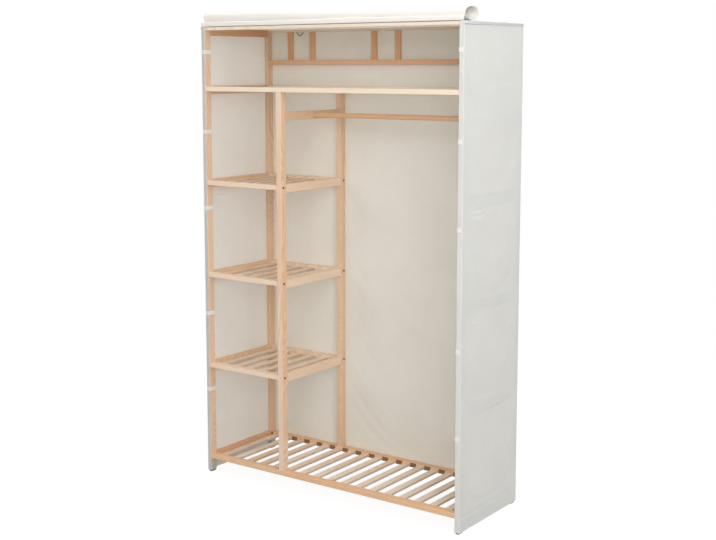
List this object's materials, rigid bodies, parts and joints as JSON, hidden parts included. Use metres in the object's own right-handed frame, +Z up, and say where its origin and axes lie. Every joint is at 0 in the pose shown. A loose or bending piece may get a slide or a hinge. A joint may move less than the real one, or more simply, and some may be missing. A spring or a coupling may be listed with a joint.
{
  "type": "portable fabric wardrobe",
  "caption": "Tall knock-down pine wardrobe with slatted shelves, a hanging rod and hat shelf, dressed in a pale cloth cover whose door is rolled up on top.",
  "frame": {"origin": "middle of the footprint, on the floor under the feet", "axes": "+Z up; the open front faces -Y; +X is to the right of someone facing the front"},
  "size_m": [1.141, 0.3971, 1.75],
  "materials": {
    "pine": "planed, clear lacquered",
    "cloth": "matte woven, off-white",
    "tape": "matte woven tape",
    "plastic": "matte moulded",
    "cord": "braided"
  },
  "bodies": {
    "wardrobe": {"post_front_left": "pine", "post_front_right": "pine", "post_back_left": "pine", "post_back_right": "pine", "divider_post_front": "pine", "divider_post_back": "pine", "top_rail_front": "pine", "top_rail_back": "pine", "hat_shelf": "pine", "bottom_shelf": "pine", "column_shelf_upper": "pine", "column_shelf_middle": "pine", "column_shelf_lower": "pine", "side_rail_left_top": "pine", "side_rail_left_hat": "pine", "side_rail_left_bottom": "pine", "side_rail_right_top": "pine", "side_rail_right_hat": "pine", "side_rail_right_bottom": "pine", "side_rail_left_upper": "pine", "side_rail_left_middle": "pine", "side_rail_left_lower": "pine", "side_rail_divider_upper": "pine", "side_rail_divider_middle": "pine", "side_rail_divider_lower": "pine", "side_rail_right_upper": "pine", "side_rail_right_middle": "pine", "side_rail_right_lower": "pine", "rod_rail_divider": "pine", "rod_rail_right": "pine", "hanging_rod": "pine", "lattice_rail": "pine", "lattice_upright_left_a": "pine", "lattice_upright_left_b": "pine", "lattice_upright_middle_a": "pine", "lattice_upright_middle_b": "pine", "lattice_upright_right_a": "pine", "lattice_upright_right_b": "pine", "foot_front_left": "plastic", "foot_front_right": "plastic", "foot_back_left": "plastic", "foot_back_right": "plastic", "cover_side_left": "cloth", "cover_side_right": "cloth", "cover_back": "cloth", "cover_top": "cloth", "cover_facing_left": "cloth", "cover_facing_right": "cloth", "cover_tie_loop": "cord"},
    "door_roll": {"door_roll": "cloth"},
    "strap_left_1": {"strap_left_1": "tape"},
    "strap_left_2": {"strap_left_2": "tape"},
    "strap_left_3": {"strap_left_3": "tape"},
    "strap_left_4": {"strap_left_4": "tape"},
    "strap_left_5": {"strap_left_5": "tape"},
    "strap_right_1": {"strap_right_1": "tape"},
    "strap_right_2": {"strap_right_2": "tape"},
    "strap_right_3": {"strap_right_3": "tape"},
    "strap_right_4": {"strap_right_4": "tape"},
    "strap_right_5": {"strap_right_5": "tape"}
  },
  "joints": [
    {"name": "door_roll_turn", "type": "hinge", "parent": "wardrobe", "child": "door_roll", "pos_m": [0, -0.19855, 1.6998], "axis": [1, 0, 0], "range_deg": [0, 178]},
    {"name": "strap_left_1_open", "type": "hinge", "parent": "wardrobe", "child": "strap_left_1", "pos_m": [-0.5635, -0.19825, 1.6066], "axis": [0, 0, -1], "range_deg": [0, 170]},
    {"name": "strap_left_2_open", "type": "hinge", "parent": "wardrobe", "child": "strap_left_2", "pos_m": [-0.5635, -0.19825, 1.3132], "axis": [0, 0, -1], "range_deg": [0, 170]},
    {"name": "strap_left_3_open", "type": "hinge", "parent": "wardrobe", "child": "strap_left_3", "pos_m": [-0.5635, -0.19825, 1.0264], "axis": [0, 0, -1], "range_deg": [0, 170]},
    {"name": "strap_left_4_open", "type": "hinge", "parent": "wardrobe", "child": "strap_left_4", "pos_m": [-0.5635, -0.19825, 0.6231], "axis": [0, 0, -1], "range_deg": [0, 170]},
    {"name": "strap_left_5_open", "type": "hinge", "parent": "wardrobe", "child": "strap_left_5", "pos_m": [-0.5635, -0.19825, 0.3272], "axis": [0, 0, -1], "range_deg": [0, 170]},
    {"name": "strap_right_1_open", "type": "hinge", "parent": "wardrobe", "child": "strap_right_1", "pos_m": [0.5635, -0.19825, 1.6066], "axis": [0, 0, 1], "range_deg": [0, 170]},
    {"name": "strap_right_2_open", "type": "hinge", "parent": "wardrobe", "child": "strap_right_2", "pos_m": [0.5635, -0.19825, 1.3132], "axis": [0, 0, 1], "range_deg": [0, 170]},
    {"name": "strap_right_3_open", "type": "hinge", "parent": "wardrobe", "child": "strap_right_3", "pos_m": [0.5635, -0.19825, 1.0264], "axis": [0, 0, 1], "range_deg": [0, 170]},
    {"name": "strap_right_4_open", "type": "hinge", "parent": "wardrobe", "child": "strap_right_4", "pos_m": [0.5635, -0.19825, 0.6231], "axis": [0, 0, 1], "range_deg": [0, 170]},
    {"name": "strap_right_5_open", "type": "hinge", "parent": "wardrobe", "child": "strap_right_5", "pos_m": [0.5635, -0.19825, 0.3272], "axis": [0, 0, 1], "range_deg": [0, 170]}
  ]
}
